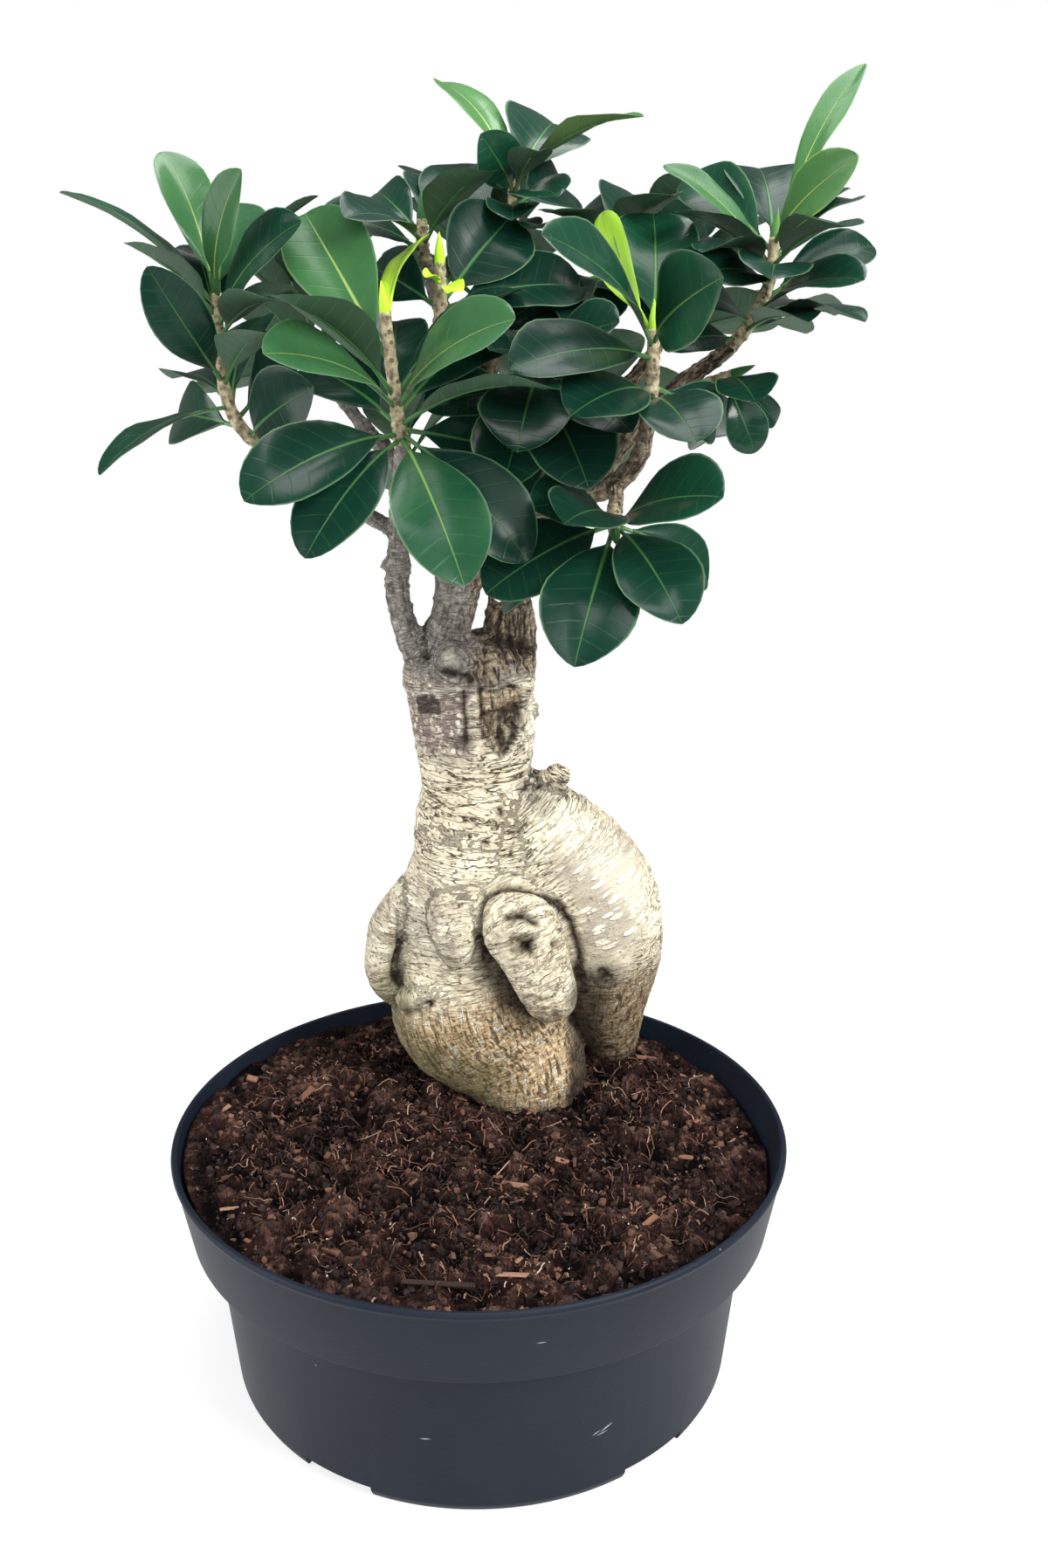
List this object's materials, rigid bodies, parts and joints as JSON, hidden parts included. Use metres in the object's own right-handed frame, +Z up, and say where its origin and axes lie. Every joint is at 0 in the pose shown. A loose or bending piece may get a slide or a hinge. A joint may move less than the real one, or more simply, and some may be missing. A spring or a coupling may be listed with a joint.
{
  "type": "potted ficus ginseng bonsai",
  "caption": "Potted ficus bonsai with swollen folded roots, a grafted trunk, bare branches and shoots of glossy oval leaves, in a round plastic nursery bowl filled with soil.",
  "frame": {"origin": "on the surface that the pot stands on, under the middle of the pot, which is the bottom centre of the whole plant's box within about 1 mm", "axes": "+Z up, -Y towards the side that the picture shows, +X to its right"},
  "size_m": [0.262, 0.2305, 0.464],
  "materials": {
    "pot": "near-black slate plastic, satin, with fine scratches",
    "soil": "dark brown moist coir and peat, rough, with tan fibres",
    "bark": "pale beige skin with fine wrinkles, grey-brown on the branches",
    "leaf": "glossy dark green, with a paler midrib and a thin pale edge"
  },
  "bodies": {
    "root": {"pot": "pot", "soil": "soil", "trunk": "bark", "shoot_left": "leaf", "shoot_front_left": "leaf", "shoot_young": "leaf", "shoot_upper_left": "leaf", "shoot_top": "leaf", "shoot_upper_right": "leaf", "shoot_front_right": "leaf", "shoot_right": "leaf", "shoot_lower_right": "leaf", "shoot_low_front": "leaf", "shoot_centre": "leaf", "shoot_back_left": "leaf", "shoot_back": "leaf", "shoot_back_right": "leaf", "shoot_low_back_left": "leaf", "shoot_low_back_right": "leaf"}
  },
  "joints": []
}
